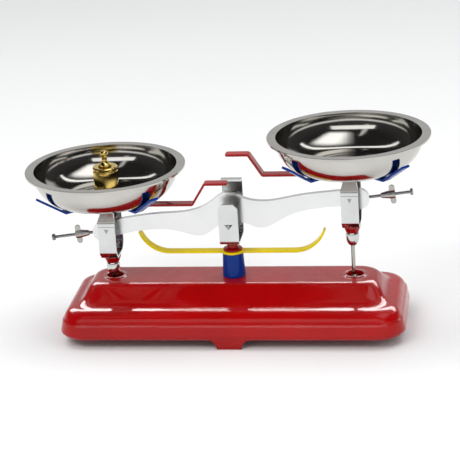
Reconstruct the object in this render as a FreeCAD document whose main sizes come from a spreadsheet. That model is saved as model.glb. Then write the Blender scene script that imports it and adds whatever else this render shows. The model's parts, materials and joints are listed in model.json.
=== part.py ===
"""Toy counter balance: a beam on a knife edge carries two upright pan carriers above a cast base.

Frame: +X to the right pan, +Y to the back, +Z up, origin on the floor under the middle of the base.
Lengths are in millimetres and angles in degrees. The beam rests with its left end down.
"""
import FreeCAD
import Part
import Sketcher
import math
import os

Vector = FreeCAD.Vector

BANDS = 5                          # ruled bands in each rounded corner of the casting's section
REACH = 1                          # how far a boss starts inside, or a cut outside, the surface it meets

SIZES = {
    # Linkage
    "beam_arm": 74.5,              # centre knife to end knife, along the level beam
    "knife_rise": 7.0,             # end knives above the centre knife
    "pivot_height": 66.5,          # centre knife above the floor
    "rest_tilt": 7.0,              # beam angle at either stop
    "link_room": 0.4,              # check link below the roof of the casting at either stop
    "rest_gap": 0.3,               # clearance where one piece only rests on another
    "running_gap": 0.06,           # radial clearance of a pin in its bore
    "loose_gap": 0.4,              # radial clearance at the two open pivots of the linkage
    # Base casting
    "foot_height": 6.0,
    "foot_width": 15.0,
    "foot_flare": 5.5,
    "foot_sweep": 6.05,
    "skirt_tuck": 1.0,
    "skirt_bulge": 2.0,            # widest level, above the foot height
    "deck_height": 33.0,
    "deck_overhang": 8.0,          # flat of the deck beyond the stem
    "deck_width": 13.0,            # half widths at each corner of the section, from the deck down
    "brow_width": 14.5,
    "cheek_width": 18.2,
    "neck_width": 26.0,
    "ledge_width": 34.5,
    "band_top_width": 36.8,
    "band_width": 37.5,
    "skirt_width": 39.5,
    "brow_step": 4.0,              # how much longer than the corner above it each one is
    "cheek_step": 3.5,
    "neck_step": 3.5,
    "ledge_step": 7.5,
    "band_top_step": 2.2,
    "band_step": 0.7,
    "skirt_step": 1.6,
    "cheek_drop": 3.5,             # heights of the same corners
    "neck_height": 22.4,
    "ledge_height": 22.0,
    "band_top": 16.0,
    "band_height": 15.5,
    "deck_corner": 9.0,            # plan corners, at the deck and at the foot
    "skirt_corner": 16.0,
    "attic_corner": 6.0,
    "attic_side": 2.0,             # inset of the hollow's top from the edge of the deck
    "casting_wall": 3.0,
    "stem_hole": 5.3,              # radius of the holes that the stems pass through
    "lip_width": 1.7,
    "lip_height": 0.6,
    # Centre column
    "bolt_radius": 2.0,
    "bolt_clearance": 0.15,
    "hex_radius": 3.9,
    "hex_height": 2.6,
    "bolt_stub": 0.6,
    "pillar_foot": 7.0,
    "pillar_top": 6.3,
    "eye_radius": 6.9,
    "stop_width": 6.0,
    "stop_thick": 1.4,
    "stop_straight": 38.0,         # half length of the straight middle of the stop bar
    "stop_bend": 18.7,
    "stop_sweep": 72.0,
    "spool_radius": 5.7,
    "spool_waist": 3.4,
    "spool_flange": 1.3,
    "spool_shoulder": 0.6,
    "spool_taper": 0.5,
    # Sheet metal brackets
    "sheet": 1.4,
    "yoke_depth": 12.0,            # half depth over the front and rear plates
    "yoke_width": 5.8,
    "yoke_drop": 10.5,             # centre knife down to the underside of the yoke
    "yoke_front": 15.9,            # centre knife up to the top of the front plate
    "yoke_bend": 4.0,
    "yoke_corner": 2.6,
    "index_width": 6.3,
    "index_low": 11.5,             # above the centre knife
    "index_top": 25.0,
    "index_lip": 5.0,
    "rivet_radius": 1.0,
    "rivet_spread": 3.4,
    "rivet_head": 1.8,
    "rivet_head_thick": 0.5,
    # Knife edges and their seats
    "knife_height": 2.8,
    "knife_angle": 25.0,           # half angle
    "seat_angle": 38.0,            # half angle
    "seat_gap": 0.15,
    "seat_rise": 3.1,
    "knife_proud": 0.4,            # centre knife beyond the yoke plates
    # Beam
    "beam_thick": 3.6,
    "beam_arch": 20.3,
    "beam_notch": 0.8,
    "beam_belly": 4.8,
    "belly_place": 19.5,
    "arch_brow": 2.6,              # fall of the hump's top a third of the way to the belly
    "arch_cheek": 6.0,             # and at its steepest
    "belly_flank": 3.4,            # depth of the underside either side of the belly
    "belly_tail": 2.6,
    "beam_saddle": 11.5,           # top of the wing at its lowest
    "wing_top": 12.3,
    "wing_under": 3.0,
    "lobe_radius": 6.4,
    "lobe_reach": 4.5,             # lobe centre outboard of the end knife
    "lobe_drop": 1.7,              # lobe centre below the end knife
    # Balance screws and wing nuts
    "screw_radius": 0.9,
    "screw_reach": 26.1,           # lengths from here on start at the end of the beam
    "screw_depth": 3.0,
    "screw_head": 2.0,
    "screw_head_thick": 1.6,
    "screw_height": 5.4,           # above the centre knife
    "left_nut_place": 11.1,
    "right_nut_place": 15.6,
    "wing_span": 5.9,
    "wing_thick": 1.3,
    "wing_depth": 3.4,
    "nut_hub": 2.5,
    "nut_nose": 1.6,
    "nut_length": 8.5,
    "wing_root": 0.8,
    # Pan carriers, measured from the end knife
    "stirrup_width": 5.2,
    "stirrup_neck": 3.8,
    "stirrup_neck_depth": 4.8,
    "stirrup_top": 14.2,
    "stirrup_bottom": 17.4,
    "stirrup_chamfer": 4.6,
    "stirrup_bend": 2.6,
    "groove_place": 4.2,
    "groove_height": 0.8,
    "groove_depth": 0.35,
    "pointer_width": 6.5,
    "pointer_thick": 1.4,
    "pointer_low": 52.5,           # carrier axis to the first bend
    "pointer_slope": 58.0,
    "pointer_rise": 12.9,
    "pointer_tail": 1.0,           # beyond the spacer
    "pointer_tip_gap": 0.5,
    "spacer_radius": 4.5,
    "spacer_thick": 1.2,
    "cradle_thick": 1.4,
    "cradle_width": 6.0,
    "cradle_hub": 8.0,
    "cradle_slope": 35.0,
    "cradle_reach": 46.5,
    "cradle_angle": 42.0,
    "cradle_screw": 1.5,
    "cradle_head": 2.9,
    "small_hex": 2.9,
    "small_hex_height": 2.2,
    "small_stub": 0.4,
    "countersink_land": 0.2,
    "collar_radius": 5.2,
    "collar_foot": 3.9,
    "collar_height": 4.6,
    "collar_band": 1.2,
    "stem_radius": 1.2,
    "stem_head": 2.6,
    "stem_head_thick": 1.5,
    "stem_nut_radius": 4.1,
    "stem_nut_foot": 2.4,
    "stem_nut_height": 8.2,
    "stem_nut_band": 1.4,
    "stem_nut_edge": 1.0,
    "stem_nut_chamfer": 0.5,
    "clevis_radius": 3.2,
    "clevis_above": 4.0,
    "clevis_taper": 2.0,
    "clevis_inset": 0.1,           # stem pin shorter than the clevis, at each end
    "clevis_below": 2.7,
    # Check link and its bracket
    "link_thick": 2.0,
    "link_half": 2.2,
    "link_eye": 2.6,
    "link_boss": 3.4,
    "link_boss_length": 4.8,
    "link_web": 4.0,
    "link_pin": 1.1,
    "bracket_half": 6.6,
    "bracket_width": 6.0,
    "bracket_below": 3.6,
    "bracket_pin": 1.5,
    "bracket_pin_head": 2.5,
    "pin_head_thick": 1.0,
    # Pans and weight
    "pan_radius": 48.5,
    "pan_flat": 24.0,
    "pan_bowl": 20.0,
    "pan_wall": 0.8,
    "pan_edge": 1.3,
    "weight_radius": 7.6,
    "weight_height": 20.0,
    "weight_edge": 0.6,
    "weight_groove": 0.5,
    "knob_dome": 4.2,
    "knob_neck": 1.5,
    "knob_ball": 2.5,
    "knob_height": 10.0,
    "knob_stud": 1.5,
    "knob_foot": 0.8,
    "ring_place": 1.8,             # groove round the weight, below its top
    "ring_width": 0.4,
    "ring_bevel": 0.4,
    "stud_length": 5.0,
}

doc = FreeCAD.newDocument("counter_balance")
sheet = doc.addObject("Spreadsheet::Sheet", "Sizes")


class Size:
    """A value with the expression that ties it to the spreadsheet."""

    def __init__(self, text, value):
        self.text = text
        self.value = value

    def __add__(self, other):
        other = size(other)
        return Size(f"({self.text} + {other.text})", self.value + other.value)

    def __sub__(self, other):
        other = size(other)
        return Size(f"({self.text} - {other.text})", self.value - other.value)

    def __mul__(self, other):
        other = size(other)
        return Size(f"{self.text} * {other.text}", self.value * other.value)

    def __truediv__(self, other):
        other = size(other)
        return Size(f"{self.text} / {other.text}", self.value / other.value)

    def __neg__(self):
        return Size(f"(0 - {self.text})", -self.value)


def size(item):
    """A plain number as a Size; a Size stays as it is."""
    if isinstance(item, Size):
        return item
    text = repr(float(item))
    return Size(text if item >= 0 else f"({text})", float(item))


def trig(name, angle):
    """sin, cos or tan of an angle in degrees, as a Size."""
    return Size(f"{name}({angle.text} * 1 deg)", getattr(math, name)(math.radians(angle.value)))


for row, (alias, number) in enumerate(SIZES.items(), start=1):
    sheet.set(f"A{row}", alias)
    sheet.set(f"B{row}", str(number))
    sheet.setAlias(f"B{row}", alias)
doc.recompute()


class Named:
    """Every alias of the sheet as an attribute that holds its Size."""


D = Named()
for alias in SIZES:
    setattr(D, alias, Size(f"Sizes.{alias}", float(sheet.get(alias))))

TILT_SIN = trig("sin", D.rest_tilt)
TILT_COS = trig("cos", D.rest_tilt)

nodes = {}


# ---------------------------------------------------------------- helpers

def bind(item, **values):
    """Tie properties of an object to the sheet; a double underscore in a name stands for a dot."""
    for name, value in values.items():
        item.setExpression(name.replace("__", "."), size(value).text)


def feature(body, kind, name, profile=None, **values):
    """A PartDesign feature of a body, made from a profile, with its sizes tied to the sheet."""
    item = body.newObject(f"PartDesign::{kind}", f"{body.Name}_{name}")
    if profile is not None:
        item.Profile = profile
    bind(item, **values)
    return item


def draw(body, role, name, lift=None, turn=None):
    """An empty sketch on one of the body's origin planes, lifted along its normal or turned about Z."""
    sketch = body.newObject("Sketcher::SketchObject", f"{body.Name}_{name}")
    plane = next(item for item in body.Origin.OriginFeatures if item.Role == role)
    sketch.AttachmentSupport = [(plane, "")]
    sketch.MapMode = "FlatFace"
    if turn is not None:
        sketch.AttachmentOffset = FreeCAD.Placement(Vector(), FreeCAD.Rotation(Vector(0, 1, 0), turn.value))
        bind(sketch, AttachmentOffset__Rotation__Angle=turn)
    if lift is not None:
        bind(sketch, AttachmentOffset__Base__z=lift)
    return sketch


def fix(sketch, kind, where, value):
    """One dimension of a sketch, tied to the sheet; a plain zero puts the point on its axis."""
    if kind != "Radius" and not isinstance(value, Size) and value == 0:
        axis = -2 if kind == "DistanceX" else -1
        sketch.addConstraint(Sketcher.Constraint("PointOnObject", *where, axis))
        return
    value = size(value)
    index = sketch.addConstraint(Sketcher.Constraint(kind, *where, value.value))
    sketch.setExpression(f"Constraints[{index}]", value.text)


def arc(start, end, radius, turn):
    """The arc under a half circle that turns left (1) or right (-1) on its way from start to end."""
    chord = end - start
    height = math.sqrt(max(radius ** 2 - chord.Length ** 2 / 4, 0))
    centre = (start + end) * 0.5 + Vector(-chord.y, chord.x, 0).normalize() * height * turn
    first, last = (start, end) if turn > 0 else (end, start)
    angles = [math.atan2(point.y - centre.y, point.x - centre.x) for point in (first, last)]
    return Part.ArcOfCircle(Part.Circle(centre, Vector(0, 0, 1), radius), *angles)


def outline(sketch, corners):
    """Closed outline through corners (across, up); (across, up, radius, turn) starts an arc instead."""
    places = [Vector(size(corner[0]).value, size(corner[1]).value, 0) for corner in corners]
    base = sketch.GeometryCount
    starts, ends = [], []
    for index, corner in enumerate(corners):
        here, there = places[index], places[(index + 1) % len(corners)]
        if len(corner) == 2:
            sketch.addGeometry(Part.LineSegment(here, there), False)
        else:
            sketch.addGeometry(arc(here, there, size(corner[2]).value, corner[3]), False)
        forward = len(corner) == 2 or corner[3] > 0
        starts.append(1 if forward else 2)
        ends.append(2 if forward else 1)
    for index, corner in enumerate(corners):
        follower = (index + 1) % len(corners)
        sketch.addConstraint(Sketcher.Constraint(
            "Coincident", base + index, ends[index], base + follower, starts[follower]))
        fix(sketch, "DistanceX", (base + index, starts[index]), corner[0])
        fix(sketch, "DistanceY", (base + index, starts[index]), corner[1])
        if len(corner) > 2:
            fix(sketch, "Radius", (base + index,), corner[2])
    return sketch


def circle(sketch, across, up, radius):
    place = Vector(size(across).value, size(up).value, 0)
    index = sketch.addGeometry(Part.Circle(place, Vector(0, 0, 1), size(radius).value), False)
    fix(sketch, "DistanceX", (index, 3), across)
    fix(sketch, "DistanceY", (index, 3), up)
    fix(sketch, "Radius", (index,), radius)
    return sketch


def mirrored(corners):
    """A right half given from bottom to top, joined to its mirror image; no corner is an arc."""
    return corners + [(-size(across), up) for across, up in reversed(corners)]


def rounded(half_length, half_width, corner):
    """Corners of a rectangle with rounded ends, centred on the origin, counterclockwise."""
    x, y = size(half_length), size(half_width)
    flat_x, flat_y = x - corner, y - corner
    return [(-flat_x, -y), (flat_x, -y, corner, 1), (x, -flat_y), (x, flat_y, corner, 1),
            (flat_x, y), (-flat_x, y, corner, 1), (-x, flat_y), (-x, -flat_y, corner, 1)]


def pad(body, sketch, name, length, both=True):
    item = feature(body, "Pad", name, sketch, Length=length)
    item.SideType = "Symmetric" if both else "One side"
    return item


def pocket(body, sketch, name, length, both=True, reverse=False):
    item = feature(body, "Pocket", name, sketch, Length=length)
    item.SideType = "Symmetric" if both else "One side"
    item.Reversed = reverse
    return item


def revolve(body, sketch, name, axis="V_Axis"):
    item = feature(body, "Revolution", name, sketch)
    item.ReferenceAxis = (sketch, [axis])
    item.Angle = 360
    return item


def round_edges(body, name, radius, test, kind="Fillet"):
    """Fillet or chamfer the edges of the body's last feature that pass a test."""
    doc.recompute()
    base = body.Tip
    names = [f"Edge{number}" for number, edge in enumerate(base.Shape.Edges, 1) if test(edge)]
    item = body.newObject(f"PartDesign::{kind}", f"{body.Name}_{name}")
    item.Base = (base, names)
    bind(item, **{"Radius" if kind == "Fillet" else "Size": radius})
    return item


def through(across, up, first="y", second="z"):
    """Test for straight edges square to a plane, through one point of that plane."""
    across, up = size(across).value, size(up).value

    def test(edge):
        return all(abs(getattr(vertex.Point, first) - across) < 1e-4
                   and abs(getattr(vertex.Point, second) - up) < 1e-4 for vertex in edge.Vertexes)
    return test


def any_of(tests):
    return lambda edge: any(test(edge) for test in tests)


def place(item, x=0, z=0, turn=None):
    """Put a sub-part in the frame: its own origin goes to (x, 0, z), turned about Y."""
    if turn is not None:
        item.Placement = FreeCAD.Placement(Vector(), FreeCAD.Rotation(Vector(0, 1, 0), turn.value))
        bind(item, Placement__Rotation__Angle=turn)
    bind(item, Placement__Base__x=x, Placement__Base__z=z)


def node(name, item, x=0, z=0, turn=None):
    item.Label = name
    place(item, x, z, turn)
    nodes[name] = item
    return item


def new_body(name):
    return doc.addObject("PartDesign::Body", name)


def lathe(name, corners):
    """A body turned about its own Z axis from corners (radius, height)."""
    body = new_body(name)
    revolve(body, outline(draw(body, "XZ_Plane", "profile"), corners), "turned")
    return body


def hex_nut(name, bore, radius, height, bottom):
    prism = doc.addObject("Part::Prism", f"{name}_hex")
    prism.Polygon = 6
    bind(prism, Circumradius=radius, Height=height, Placement__Base__z=bottom)
    hole = doc.addObject("Part::Cylinder", f"{name}_bore")
    bind(hole, Radius=bore, Height=height, Placement__Base__z=bottom)
    cut = doc.addObject("Part::Cut", name)
    cut.Base, cut.Tool = prism, hole
    return cut


def cross_pin(name, radius, half_length, height=0, head=None, head_thick=None):
    """A pin along Y through (0, height), with a head at each end where one is given."""
    body = new_body(name)
    half = size(half_length)
    corners = [(0, -half), (radius, -half), (radius, half), (0, half)]
    if head is not None:
        outer = half + head_thick
        corners = [(0, -outer), (head, -outer), (head, -half), (radius, -half),
                   (radius, half), (head, half), (head, outer), (0, outer)]
    revolve(body, outline(draw(body, "XY_Plane", "profile"), corners), "turned")
    bind(body, Placement__Base__z=height)
    return body


# ---------------------------------------------------------------- heights and places that follow

YOKE_LOW = D.pivot_height - D.yoke_drop
YOKE_FLOOR = YOKE_LOW + D.sheet
BOLT_HOLE = D.bolt_radius + D.bolt_clearance
DECK_UNDER = D.deck_height - D.casting_wall
LINK_SWING = D.beam_arm * TILT_SIN + D.knife_rise * TILT_COS
LINK_HEIGHT = DECK_UNDER - LINK_SWING - D.link_eye - D.link_room
LINK_DROP = D.pivot_height - LINK_HEIGHT
STEM_PLACE = D.beam_arm * TILT_COS
DECK_LENGTH = STEM_PLACE + D.deck_overhang
BROW_LENGTH = DECK_LENGTH + D.brow_step
CHEEK_LENGTH = BROW_LENGTH + D.cheek_step
NECK_LENGTH = CHEEK_LENGTH + D.neck_step
LEDGE_LENGTH = NECK_LENGTH + D.ledge_step
BAND_TOP_LENGTH = LEDGE_LENGTH + D.band_top_step
BAND_LENGTH = BAND_TOP_LENGTH + D.band_step
SKIRT_LENGTH = BAND_LENGTH + D.skirt_step
BEAM_END = D.beam_arm + D.lobe_reach + D.lobe_radius

# End of the stop bar: its sweep, and the beam's underside above it at the stop
SWEEP_SIN = trig("sin", D.stop_sweep)
SWEEP_COS = trig("cos", D.stop_sweep)
STOP_REACH = D.stop_straight + D.stop_bend * SWEEP_SIN
STOP_TIP = D.pivot_height - STOP_REACH * TILT_SIN + D.wing_under * TILT_COS - D.rest_gap
STOP_LOW = STOP_TIP - D.stop_thick - D.stop_bend * (size(1) - SWEEP_COS)
STOP_HIGH = STOP_LOW + D.stop_thick

# Stack above the stirrup, measured from the end knife
POINTER_LOW = D.stirrup_top
SPACER_LOW = POINTER_LOW + D.pointer_thick
CRADLE_LOW = SPACER_LOW + D.spacer_thick
CRADLE_TOP = CRADLE_LOW + D.cradle_thick
PAN_LOW = CRADLE_TOP + D.rest_gap
COLLAR_TOP = -D.stirrup_bottom
NUT_TOP = COLLAR_TOP - D.collar_height
NUT_FOOT = NUT_TOP - D.stem_nut_height
CLEVIS_TOP = -LINK_DROP + D.clevis_above
CLEVIS_FOOT = -LINK_DROP - D.clevis_below

# End knives at rest: the left one low, the right one high
CARRIERS = {
    "left": (-1, -(D.beam_arm * TILT_COS) - D.knife_rise * TILT_SIN,
             D.pivot_height - D.beam_arm * TILT_SIN + D.knife_rise * TILT_COS),
    "right": (1, D.beam_arm * TILT_COS - D.knife_rise * TILT_SIN,
              D.pivot_height + D.beam_arm * TILT_SIN + D.knife_rise * TILT_COS),
}
BEAM_TURN = -D.rest_tilt


def knife_outline(tip, half_angle, height):
    """Triangle with its edge down at (0, tip)."""
    half = trig("tan", half_angle) * height
    return [(0, tip), (half, size(tip) + height), (-half, size(tip) + height)]


# ---------------------------------------------------------------- base

def skin():
    """Levels of the casting's outside, (half length, half width, height), from the foot up.

    Its section has straight flanks between corners; some are sharp, and some are rounded by a parabola
    that leaves a flank at a given share of its length.
    """
    corners = [
        ((SKIRT_LENGTH - D.skirt_tuck, D.skirt_width - D.skirt_tuck, D.foot_height), 0, 0),
        ((SKIRT_LENGTH, D.skirt_width, D.foot_height + D.skirt_bulge), 0, 0),
        ((BAND_LENGTH, D.band_width, D.band_height), 0, 0),
        ((BAND_TOP_LENGTH, D.band_top_width, D.band_top), 0, 0),
        ((LEDGE_LENGTH, D.ledge_width, D.ledge_height), 0.9, 0.5),
        ((NECK_LENGTH, D.neck_width, D.neck_height), 0.45, 0.45),
        ((CHEEK_LENGTH, D.cheek_width, D.deck_height - D.cheek_drop), 0.5, 0.5),
        ((BROW_LENGTH, D.brow_width, D.deck_height), 0.45, 0.9),
        ((DECK_LENGTH, D.deck_width, D.deck_height), 0, 0),
    ]

    def between(start, end, share):
        return tuple(near + (far - near) * share for near, far in zip(start, end))

    levels = []
    for index, (corner, before, after) in enumerate(corners):
        if not before:
            levels.append(corner)
            continue
        start = between(corner, corners[index - 1][0], before)
        end = between(corner, corners[index + 1][0], after)
        for step in range(BANDS + 1):
            share = step / BANDS
            levels.append(between(between(start, corner, share), between(corner, end, share), share))
    return levels[:-1]             # the last corner lies in the flat of the deck


def base_casting():
    """Hollow casting with a banded foot, a ledge, sloped flanks, a flat deck and four drop feet."""
    body = new_body("base_casting")
    sections = []
    for step, (length, width, height) in enumerate(skin()):
        share = (height - D.foot_height) / (D.deck_height - D.foot_height)
        corner = D.skirt_corner - (D.skirt_corner - D.deck_corner) * share
        sketch = draw(body, "XY_Plane", f"level_{step}", lift=height)
        sections.append(outline(sketch, rounded(length, width, corner)))
    outside = feature(body, "AdditiveLoft", "skin", sections[0])
    outside.Sections = sections[1:]
    outside.Ruled = True

    lips = draw(body, "XY_Plane", "lips", lift=D.deck_height - REACH)
    for side in (-1, 1):
        circle(lips, STEM_PLACE * side, 0, D.stem_hole + D.lip_width)
    pad(body, lips, "lip", D.lip_height + REACH, both=False)

    half = D.foot_width / 2
    flare = half + D.foot_flare
    drop = [(-half, 0), (half, 0, D.foot_sweep, -1), (flare, D.foot_height),
            (flare, D.foot_height + REACH), (-flare, D.foot_height + REACH),
            (-flare, D.foot_height, D.foot_sweep, -1)]
    feet = outline(draw(body, "XZ_Plane", "front_feet"), drop)
    pad(body, feet, "front_feet_pad", (D.skirt_width - D.skirt_tuck) * 2)
    feet = outline(draw(body, "YZ_Plane", "end_feet"), drop)
    pad(body, feet, "end_feet_pad", (SKIRT_LENGTH - D.skirt_tuck) * 2)

    wall = D.casting_wall
    hollow = []
    for name, height, length, width in (
            ("floor", size(-REACH), SKIRT_LENGTH - D.skirt_tuck, D.skirt_width - D.skirt_tuck),
            ("rim", D.foot_height, SKIRT_LENGTH - D.skirt_tuck, D.skirt_width - D.skirt_tuck),
            ("shoulder", D.ledge_height - wall, LEDGE_LENGTH, D.ledge_width)):
        sketch = draw(body, "XY_Plane", f"hollow_{name}", lift=height)
        hollow.append(outline(sketch, rounded(length - wall, width - wall, D.deck_corner)))
    inside = feature(body, "SubtractiveLoft", "hollow", hollow[0])
    inside.Sections = hollow[1:]
    inside.Ruled = True
    low = outline(draw(body, "XY_Plane", "attic_foot", lift=D.ledge_height - wall - REACH),
                  rounded(NECK_LENGTH - wall, D.neck_width - wall, D.attic_corner))
    high = outline(draw(body, "XY_Plane", "attic_top", lift=DECK_UNDER),
                   rounded(DECK_LENGTH - D.attic_side / 2, D.brow_width - D.attic_side, D.attic_corner))
    attic = feature(body, "SubtractiveLoft", "attic", low)
    attic.Sections = [high]
    attic.Ruled = True

    holes = draw(body, "XY_Plane", "holes", lift=D.deck_height + D.lip_height)
    circle(holes, 0, 0, BOLT_HOLE)
    for side in (-1, 1):
        circle(holes, STEM_PLACE * side, 0, D.stem_hole)
    pocket(body, holes, "holes_cut", D.lip_height + D.casting_wall * 2, both=False)
    node("base_casting", body)


# ---------------------------------------------------------------- centre column

def centre_column():
    node("pillar", lathe("pillar", [
        (BOLT_HOLE, D.deck_height), (D.pillar_foot, D.deck_height), (D.pillar_top, STOP_LOW),
        (BOLT_HOLE, STOP_LOW)]))

    body = new_body("stop_bar")
    outer = D.stop_bend + D.stop_thick
    tip_out = (D.stop_straight + outer * SWEEP_SIN, STOP_LOW + outer * (size(1) - SWEEP_COS))
    tip_in = (STOP_REACH, STOP_TIP)
    bar = draw(body, "XZ_Plane", "bar")
    outline(bar, [
        (-D.stop_straight, STOP_LOW), (D.stop_straight, STOP_LOW, outer, 1), tip_out,
        (*tip_in, D.stop_bend, -1), (D.stop_straight, STOP_HIGH),
        (-D.stop_straight, STOP_HIGH, D.stop_bend, -1), (-tip_in[0], tip_in[1]),
        (-tip_out[0], tip_out[1], outer, 1)])
    pad(body, bar, "bar_pad", D.stop_width)
    eye = circle(draw(body, "XY_Plane", "eye", lift=STOP_LOW), 0, 0, D.eye_radius)
    pad(body, eye, "eye_pad", D.stop_thick, both=False)
    hole = circle(draw(body, "XY_Plane", "eye_hole", lift=STOP_HIGH), 0, 0, BOLT_HOLE)
    pocket(body, hole, "eye_cut", D.stop_thick, both=False)
    node("stop_bar", body)

    flange, waist = D.spool_radius, D.spool_waist
    low, high = STOP_HIGH + D.spool_flange, YOKE_LOW - D.spool_flange
    node("spool", lathe("spool", [
        (BOLT_HOLE, STOP_HIGH), (flange, STOP_HIGH), (flange, low), (waist, low + D.spool_shoulder),
        (waist, high - D.spool_shoulder), (flange - D.spool_taper, high),
        (flange - D.spool_taper, YOKE_LOW), (BOLT_HOLE, YOKE_LOW)]))

    head = doc.addObject("Part::Prism", "bolt_head")
    head.Polygon = 6
    bind(head, Circumradius=D.hex_radius, Height=D.hex_height, Placement__Base__z=YOKE_FLOOR)
    shank_low = DECK_UNDER - D.sheet - D.hex_height - D.bolt_stub
    shank = doc.addObject("Part::Cylinder", "bolt_shank")
    bind(shank, Radius=D.bolt_radius, Height=YOKE_FLOOR - shank_low, Placement__Base__z=shank_low)
    bolt = doc.addObject("Part::Fuse", "pillar_bolt")
    bolt.Base, bolt.Tool = head, shank
    node("pillar_bolt", bolt)
    node("pillar_nut", hex_nut("pillar_nut", D.bolt_radius, D.hex_radius, D.hex_height,
                               DECK_UNDER - D.sheet - D.hex_height))


def yoke():
    body = new_body("yoke")
    deep, thick = D.yoke_depth, D.sheet
    top = D.pivot_height + D.yoke_front
    section = draw(body, "YZ_Plane", "section")
    outline(section, [(-deep, YOKE_LOW), (deep, YOKE_LOW), (deep, top), (deep - thick, top),
                      (deep - thick, YOKE_FLOOR), (thick - deep, YOKE_FLOOR),
                      (thick - deep, top), (-deep, top)])
    pad(body, section, "strip", D.yoke_width * 2)
    outside = any_of([through(deep, YOKE_LOW), through(-deep, YOKE_LOW)])
    inside = any_of([through(deep - thick, YOKE_FLOOR), through(thick - deep, YOKE_FLOOR)])
    round_edges(body, "outer_bend", D.yoke_bend, outside)
    round_edges(body, "inner_bend", D.yoke_bend - thick, inside)
    corners = any_of([through(side * D.yoke_width.value, top, "x", "z") for side in (-1, 1)])
    round_edges(body, "corners", D.yoke_corner, corners, "Chamfer")
    seat = outline(draw(body, "XZ_Plane", "seats"),
                   knife_outline(D.pivot_height - D.seat_gap, D.seat_angle, D.seat_rise + D.seat_gap))
    pocket(body, seat, "seat_cut", deep * 3)
    hole = circle(draw(body, "XY_Plane", "hole", lift=YOKE_FLOOR + REACH), 0, 0, BOLT_HOLE)
    pocket(body, hole, "hole_cut", thick * 3, both=False)
    rivets = draw(body, "XZ_Plane", "rivet_holes")
    rivet_height = D.pivot_height + (D.index_low + D.yoke_front) / 2
    for side in (-1, 1):
        circle(rivets, D.rivet_spread * side, rivet_height, D.rivet_radius)
    pocket(body, rivets, "rivet_cut", deep + thick, both=False)
    node("yoke", body)

    plate = new_body("index_plate")
    back, high = deep + thick, D.pivot_height + D.index_top
    low = D.pivot_height + D.index_low
    section = draw(plate, "YZ_Plane", "section")
    outline(section, [(deep, low), (back, low), (back, high), (back - D.index_lip, high),
                      (back - D.index_lip, high - thick), (deep, high - thick)])
    pad(plate, section, "strip", D.index_width * 2)
    round_edges(plate, "outer_bend", thick, through(back, high))
    rivets = draw(plate, "XZ_Plane", "rivet_holes", lift=-deep)
    for side in (-1, 1):
        circle(rivets, D.rivet_spread * side, rivet_height, D.rivet_radius)
    pocket(plate, rivets, "rivet_cut", thick * 4)
    node("index_plate", plate)

    rivet_pair = doc.addObject("Part::Compound", "index_rivets")
    links = []
    for name, side in (("left", -1), ("right", 1)):
        rivet = cross_pin(f"rivet_{name}", D.rivet_radius, thick, 0, D.rivet_head, D.rivet_head_thick)
        bind(rivet, Placement__Base__x=D.rivet_spread * side, Placement__Base__y=deep,
             Placement__Base__z=rivet_height)
        links.append(rivet)
    rivet_pair.Links = links
    node("index_rivets", rivet_pair)


def link_bracket():
    body = new_body("link_bracket")
    outer, thick = D.bracket_half, D.sheet
    low = LINK_HEIGHT - D.bracket_below
    section = draw(body, "YZ_Plane", "section")
    outline(section, [(-outer, low), (thick - outer, low), (thick - outer, DECK_UNDER - thick),
                      (outer - thick, DECK_UNDER - thick), (outer - thick, low), (outer, low),
                      (outer, DECK_UNDER), (-outer, DECK_UNDER)])
    pad(body, section, "strip", D.bracket_width * 2)
    round_edges(body, "bend", thick, any_of([through(side * outer.value, DECK_UNDER) for side in (-1, 1)]))
    holes = circle(draw(body, "XZ_Plane", "pin_hole"), 0, LINK_HEIGHT, D.bracket_pin)
    pocket(body, holes, "pin_cut", outer * 3)
    hole = circle(draw(body, "XY_Plane", "bolt_hole", lift=DECK_UNDER), 0, 0, BOLT_HOLE)
    pocket(body, hole, "bolt_cut", thick * 2, both=False)
    node("link_bracket", body)
    node("link_pin", cross_pin("link_pin", D.bracket_pin, outer, 0, D.bracket_pin_head,
                               D.pin_head_thick), 0, LINK_HEIGHT)


def check_link():
    """Straight bar inside the base; its three bores repeat the beam's three knives."""
    body = new_body("check_link")
    rise, half, reach = D.knife_rise, D.link_half, D.beam_arm
    bar = draw(body, "XZ_Plane", "bar")
    outline(bar, [(-reach, rise - half), (-D.link_web, rise - half), (-D.link_web, 0), (D.link_web, 0),
                  (D.link_web, rise - half), (reach, rise - half), (reach, rise + half),
                  (-reach, rise + half)])
    pad(body, bar, "bar_pad", D.link_thick)
    eyes = draw(body, "XZ_Plane", "eyes")
    for side in (-1, 1):
        circle(eyes, reach * side, rise, D.link_eye)
    pad(body, eyes, "eye_pad", D.link_thick)
    boss = circle(draw(body, "XZ_Plane", "boss"), 0, 0, D.link_boss)
    pad(body, boss, "boss_pad", D.link_boss_length * 2)
    bores = circle(draw(body, "XZ_Plane", "bores"), 0, 0, D.bracket_pin + D.running_gap)
    for side in (-1, 1):
        circle(bores, reach * side, rise, D.link_pin + D.loose_gap)
    pocket(body, bores, "bore_cut", D.link_boss_length * 4)
    node("check_link", body, 0, LINK_HEIGHT, BEAM_TURN)


# ---------------------------------------------------------------- beam and what rides on it

def mirror_through(points):
    """Points of a right half from the middle outwards, led by their mirror image."""
    return [Vector(-point.x, 0, point.z) for point in reversed(points) if point.x > 0] + points


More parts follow.
